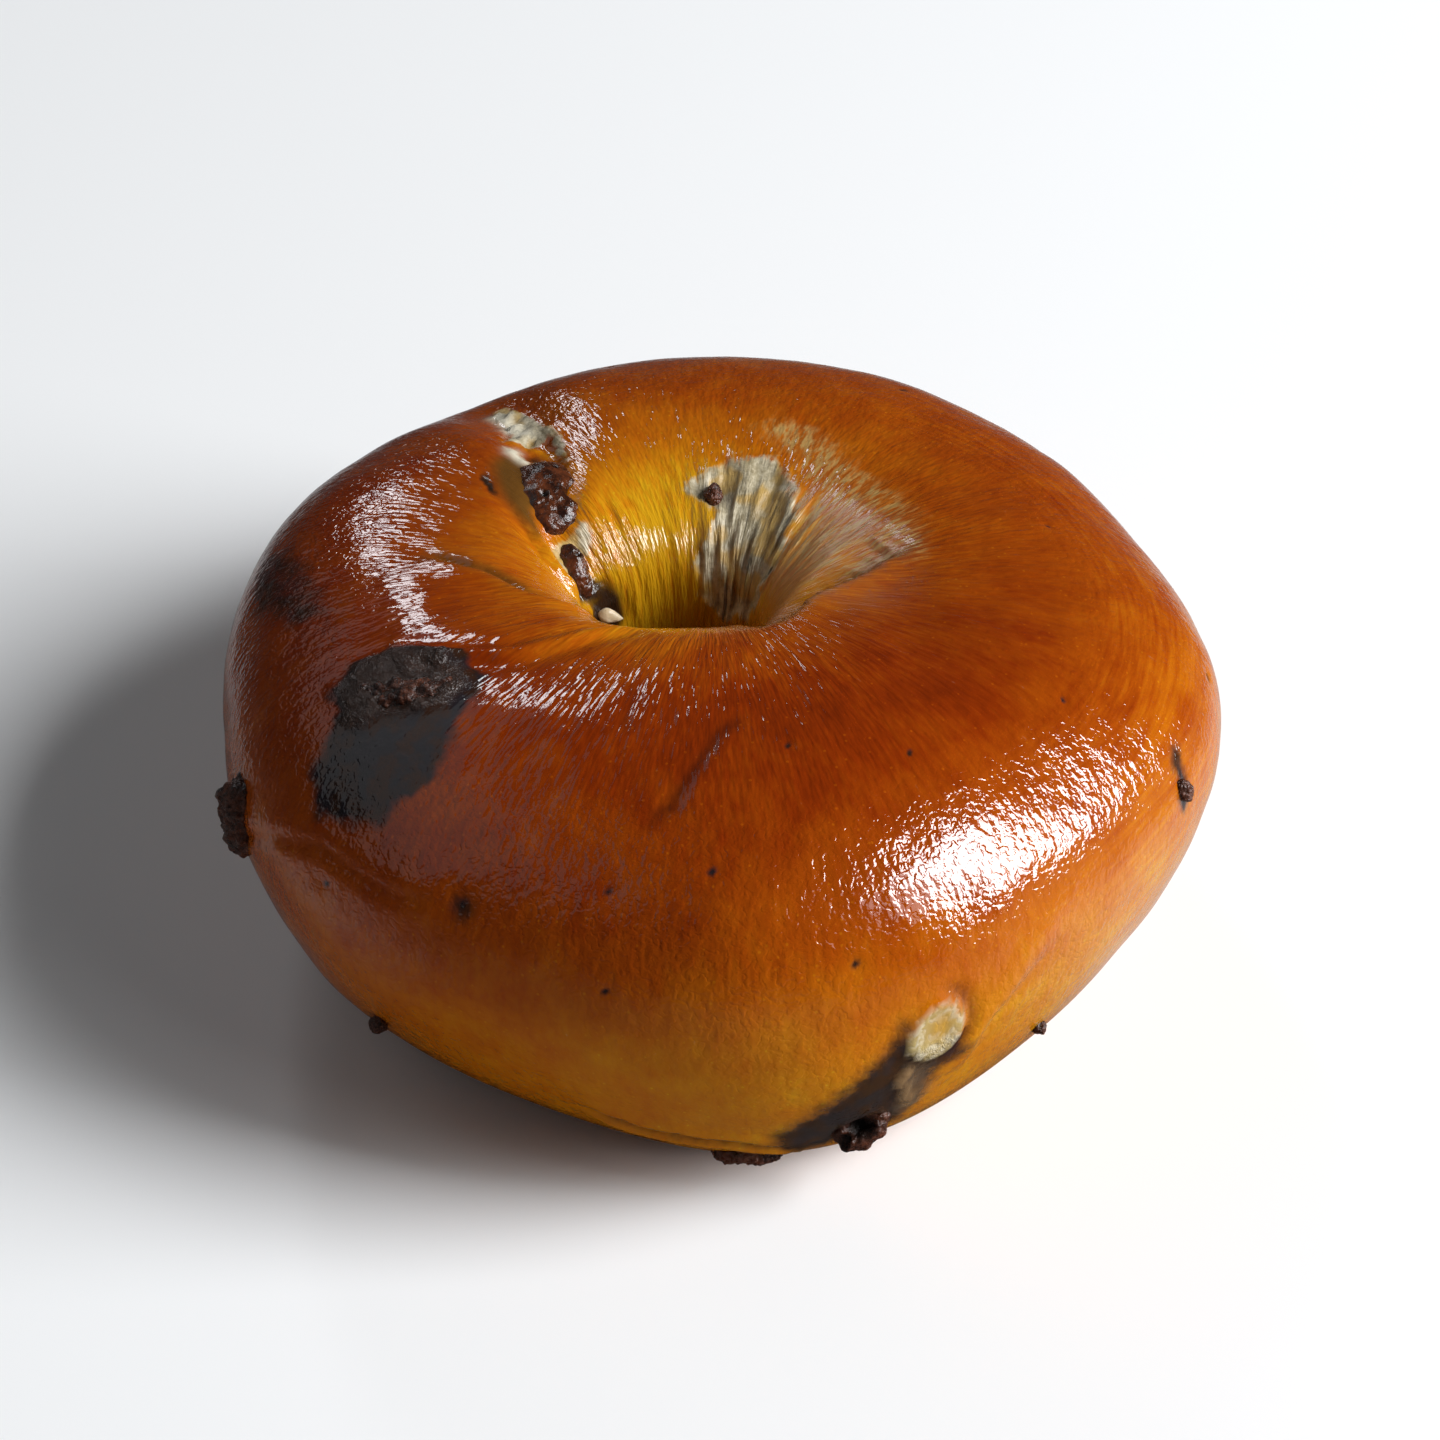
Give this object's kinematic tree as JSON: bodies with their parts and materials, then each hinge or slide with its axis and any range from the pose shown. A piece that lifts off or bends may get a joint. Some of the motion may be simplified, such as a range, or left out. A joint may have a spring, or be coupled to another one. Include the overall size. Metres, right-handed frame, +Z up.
{
  "type": "chocolate chip bagel",
  "caption": "Plump glossy ring bagel with a small off-centre hole, a seam valley, chocolate pieces in its crust and a flat base.",
  "frame": {"origin": "on the surface the bagel stands on, under the middle of its outline", "axes": "+Z up through the hole, -Y toward the plumper front, +X to the right seen from the front"},
  "size_m": [0.1052, 0.1108, 0.0458],
  "materials": {
    "crust": null,
    "chocolate": null,
    "seed_hull": null
  },
  "bodies": {
    "root": {"bagel": "crust", "seam_chunk_upper": "chocolate", "seam_chunk_lower": "chocolate", "hole_wall_chunk": "chocolate", "left_top_chunk": "chocolate", "left_side_chunk": "chocolate", "front_chunk": "chocolate", "front_base_chunk": "chocolate", "right_side_chunk": "chocolate", "left_base_nub": "chocolate", "right_base_fleck": "chocolate", "sesame_seed": "seed_hull"}
  },
  "joints": []
}
